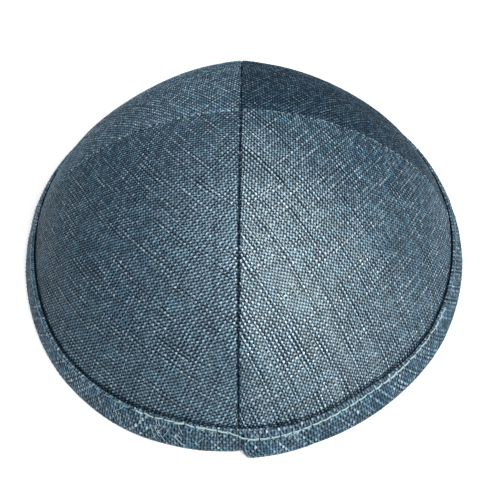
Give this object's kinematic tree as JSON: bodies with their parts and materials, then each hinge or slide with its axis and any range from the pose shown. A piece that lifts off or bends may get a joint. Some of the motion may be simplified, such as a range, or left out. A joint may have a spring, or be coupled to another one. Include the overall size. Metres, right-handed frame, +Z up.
{
  "type": "kippah skullcap",
  "caption": "Cloth kippah skullcap: a low dome of gores sewn edge to edge, with its raw rim held in a folded binding whose ends lap at the foot of the front seam.",
  "frame": {"origin": "middle of the rim's footprint, on the surface that the cap rests on", "axes": "+Z up through the crown, -Y to the front, where the binding's ends lap, +X to the right in the front view"},
  "size_m": [0.1616, 0.1786, 0.0539],
  "materials": {
    "crown_linen": "matte",
    "binding_linen": "matte",
    "topstitch_thread": "matte"
  },
  "bodies": {
    "root": {"panel_front_left": "crown_linen", "panel_front_right": "crown_linen", "panel_back_left": "crown_linen", "panel_back_right": "crown_linen", "rim_binding": "binding_linen"}
  },
  "joints": []
}
